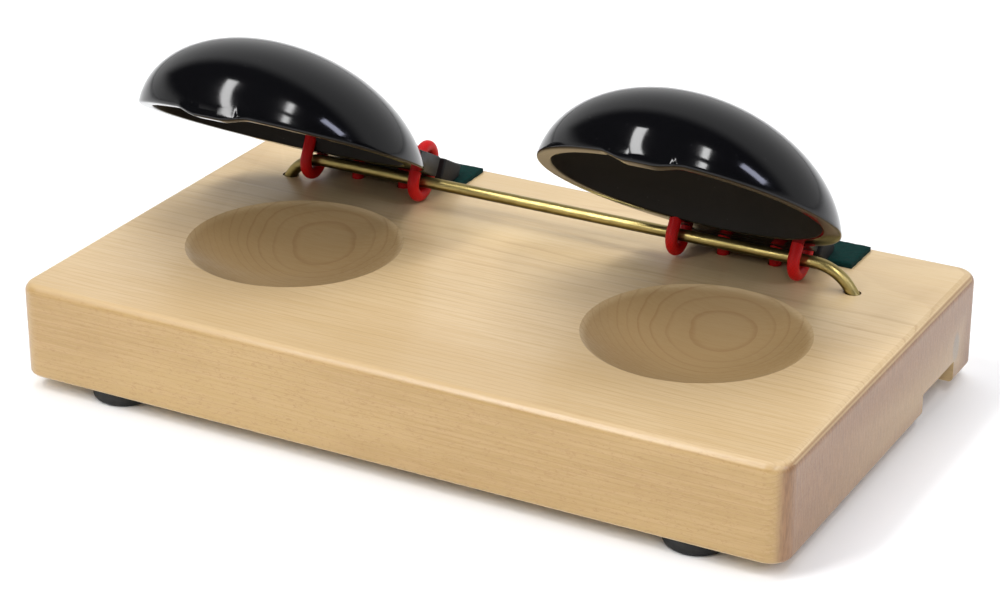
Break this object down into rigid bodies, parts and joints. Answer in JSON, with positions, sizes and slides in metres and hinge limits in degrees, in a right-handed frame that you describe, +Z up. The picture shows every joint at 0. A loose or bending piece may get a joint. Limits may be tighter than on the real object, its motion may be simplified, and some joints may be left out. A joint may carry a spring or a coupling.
{
  "type": "table castanets",
  "caption": "Table castanets: two sprung black castanet shells tied with red elastic cord to a brass rod over a maple block with dished hollows.",
  "frame": {"origin": "middle of the footprint, at the level of the undersides of the rubber feet", "axes": "+X along the hinge rod and the long side of the block, -Y towards the player, +Z up"},
  "size_m": [0.201, 0.1186, 0.0844],
  "materials": {
    "maple": "satin clear lacquer on pale maple",
    "brass": "drawn brass rod, slightly dulled",
    "black_shell": "glossy black moulding",
    "red_cord": "smooth red elastic cord",
    "green_felt": "dense dark green felt",
    "black_rubber": "matte black moulded rubber",
    "screw_steel": "zinc plated"
  },
  "bodies": {
    "base": {"base_block": "maple", "hinge_rod": "brass", "left_pull_cord": "red_cord", "left_cord_knot": "red_cord", "left_felt": "green_felt", "right_pull_cord": "red_cord", "right_cord_knot": "red_cord", "right_felt": "green_felt", "front_left_foot": "black_rubber", "front_left_screw": "screw_steel", "front_right_foot": "black_rubber", "front_right_screw": "screw_steel", "rear_left_foot": "black_rubber", "rear_left_screw": "screw_steel", "rear_right_foot": "black_rubber", "rear_right_screw": "screw_steel"},
    "left_castanet": {"left_shell": "black_shell", "left_outer_loop": "red_cord", "left_inner_loop": "red_cord", "left_heel_loop": "red_cord"},
    "right_castanet": {"right_shell": "black_shell", "right_outer_loop": "red_cord", "right_inner_loop": "red_cord", "right_heel_loop": "red_cord"}
  },
  "joints": [
    {"name": "left_hinge", "type": "hinge", "parent": "base", "child": "left_castanet", "pos_m": [-0.0562, 0.0312, 0.03345], "axis": [1, 0, 0], "range_deg": [0, 33.2], "stiffness_Nm_per_rad": 0.06, "springref_deg": -22.92},
    {"name": "right_hinge", "type": "hinge", "parent": "base", "child": "right_castanet", "pos_m": [0.0481, 0.0312, 0.03345], "axis": [1, 0, 0], "range_deg": [0, 40.8], "stiffness_Nm_per_rad": 0.06, "springref_deg": -22.92}
  ]
}
